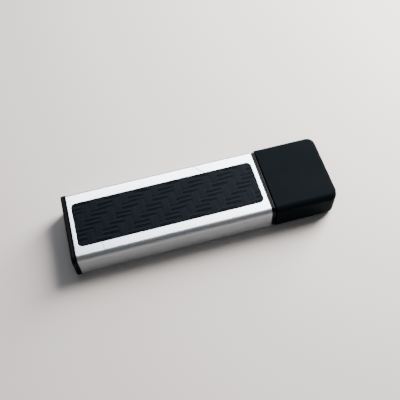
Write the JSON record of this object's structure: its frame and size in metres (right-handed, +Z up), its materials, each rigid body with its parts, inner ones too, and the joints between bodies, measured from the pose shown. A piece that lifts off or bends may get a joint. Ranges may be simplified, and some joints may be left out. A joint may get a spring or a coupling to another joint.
{
  "type": "usb flash drive",
  "caption": "Slim memory stick in a flat aluminium sleeve with a dark inlay panel, a Type A plug and a matte black pull-off cap.",
  "frame": {"origin": "under the middle of the capped drive, on the flat surface it lies on", "axes": "+X along the drive towards the plug and the cap; +Z up, out of the face with the inlay; +Y across the drive"},
  "size_m": [0.0658, 0.0192, 0.008],
  "materials": {
    "sleeve_aluminium": "bead-blasted, satin clear anodised",
    "inlay_film": "satin film with a dark 2x2 twill carbon look",
    "adhesive_film": "double-sided adhesive film",
    "satin_black_plastic": "satin black moulding",
    "carrier_plastic": "plain dark grey moulding",
    "board": "green solder mask on glass-epoxy laminate",
    "chip_epoxy": "black moulding compound with tinned leads",
    "crystal_can": "plated can",
    "plug_steel": "nickel plated, bright satin",
    "plug_nylon": "natural glass-filled nylon",
    "contact_gold": "gold plated",
    "soft_touch_black": "soft-touch matte black",
    "capacitor_ceramic": "bare tan ceramic with tinned ends",
    "resistor_body": "black overglaze with tinned ends"
  },
  "bodies": {
    "drive": {"sleeve": "sleeve_aluminium", "inlay": "inlay_film", "inlay_adhesive": "adhesive_film", "tail_plug": "satin_black_plastic", "collar": "satin_black_plastic", "carrier_lower": "carrier_plastic", "carrier_upper": "carrier_plastic", "circuit_board": "board", "flash_chip": "chip_epoxy", "controller_chip": "chip_epoxy", "crystal": "crystal_can", "plug_shell": "plug_steel", "plug_tongue": "plug_nylon", "contact_vbus": "contact_gold", "contact_d_minus": "contact_gold", "contact_d_plus": "contact_gold", "contact_ground": "contact_gold", "capacitor_1": "capacitor_ceramic", "capacitor_2": "capacitor_ceramic", "capacitor_3": "capacitor_ceramic", "capacitor_4": "capacitor_ceramic", "capacitor_5": "capacitor_ceramic", "capacitor_6": "capacitor_ceramic", "resistor_1": "resistor_body", "resistor_2": "resistor_body", "resistor_3": "resistor_body", "resistor_4": "resistor_body"},
    "cap": {"cap_shell": "soft_touch_black", "cap_liner": "carrier_plastic"}
  },
  "joints": [
    {"name": "cap_slide", "type": "slide", "parent": "drive", "child": "cap", "axis": [1, 0, 0], "range_m": [0, 0.03]}
  ]
}
